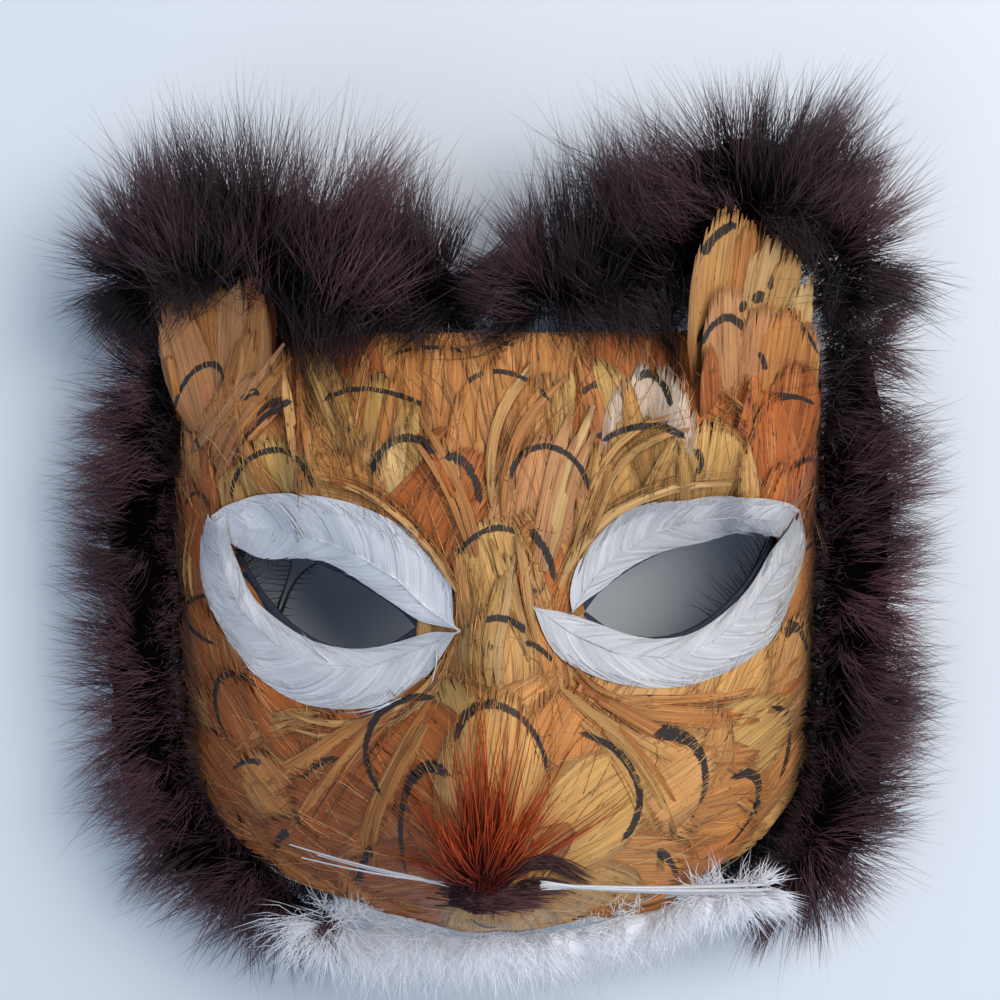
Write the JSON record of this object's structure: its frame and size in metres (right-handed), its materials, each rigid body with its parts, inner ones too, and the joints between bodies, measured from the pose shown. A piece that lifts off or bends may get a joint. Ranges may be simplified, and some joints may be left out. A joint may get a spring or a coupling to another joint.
{
  "type": "feathered animal mask",
  "caption": "Half mask of a lion's face: moulded shell with leaf-shaped eye openings, shingled feathers, two ears and a shaggy mane.",
  "frame": {"origin": "centre of the bounding box's bottom face: the mask lies on its back on a table", "axes": "+Z the way the face looks, +Y from the chin to the forehead, +X to the viewer's right"},
  "size_m": [0.2432, 0.2468, 0.0893],
  "materials": {
    "shell": "matt pressed pulp",
    "orange_feather": "dyed body feathers, golden orange with black drawn arcs",
    "white_feather": "white feather vanes",
    "mane_marabou": "dark plum-brown marabou",
    "white_marabou": "white marabou",
    "rust_hackle": "rust-red hackle",
    "nose_pad": "dark plum down pad",
    "quill": "stripped quills, slightly translucent"
  },
  "bodies": {
    "root": {"bridge_feather_lower": "orange_feather", "bridge_feather_side": "orange_feather", "bridge_feather_upper": "orange_feather", "brow_feather_1": "orange_feather", "brow_feather_2": "orange_feather", "brow_feather_3": "orange_feather", "brow_feather_4": "orange_feather", "brow_feather_5": "orange_feather", "brow_feather_6": "orange_feather", "brow_feather_7": "orange_feather", "cheek_feather_left_1": "orange_feather", "cheek_feather_left_2": "orange_feather", "cheek_feather_left_3": "orange_feather", "cheek_feather_left_4": "orange_feather", "cheek_feather_right_1": "orange_feather", "cheek_feather_right_2": "orange_feather", "cheek_feather_right_3": "orange_feather", "cheek_feather_right_4": "orange_feather", "chin_tuft": "white_marabou", "crown_feather_1": "orange_feather", "crown_feather_2": "orange_feather", "crown_feather_3": "orange_feather", "crown_feather_4": "orange_feather", "crown_feather_5": "orange_feather", "crown_feather_6": "orange_feather", "crown_feather_7": "orange_feather", "crown_fringe": "orange_feather", "left_ear": "orange_feather", "left_eye_lower_feather": "white_feather", "left_eye_upper_feather": "white_feather", "left_whiskers": "quill", "lip_feather_left": "orange_feather", "lip_feather_right": "orange_feather", "lip_fringe": "orange_feather", "mane_left": "mane_marabou", "mane_right": "mane_marabou", "mane_top_left": "mane_marabou", "mane_top_right": "mane_marabou", "mask_shell": "shell", "muzzle_feather_left": "orange_feather", "nose_feather": "orange_feather", "nose_hackle": "rust_hackle", "nose_pad": "nose_pad", "right_ear": "orange_feather", "right_eye_lower_feather": "white_feather", "right_eye_upper_feather": "white_feather", "right_whiskers": "quill", "side_feather_left_1": "orange_feather", "side_feather_left_2": "orange_feather", "side_feather_left_3": "orange_feather", "side_feather_right_1": "orange_feather", "side_feather_right_2": "orange_feather", "temple_feather_left_1": "orange_feather", "temple_feather_left_2": "orange_feather", "temple_feather_left_3": "orange_feather", "temple_feather_left_4": "orange_feather", "temple_feather_right_1": "orange_feather", "temple_feather_right_2": "orange_feather", "under_eye_feathers_left": "orange_feather", "under_eye_feathers_right": "orange_feather"}
  },
  "joints": []
}
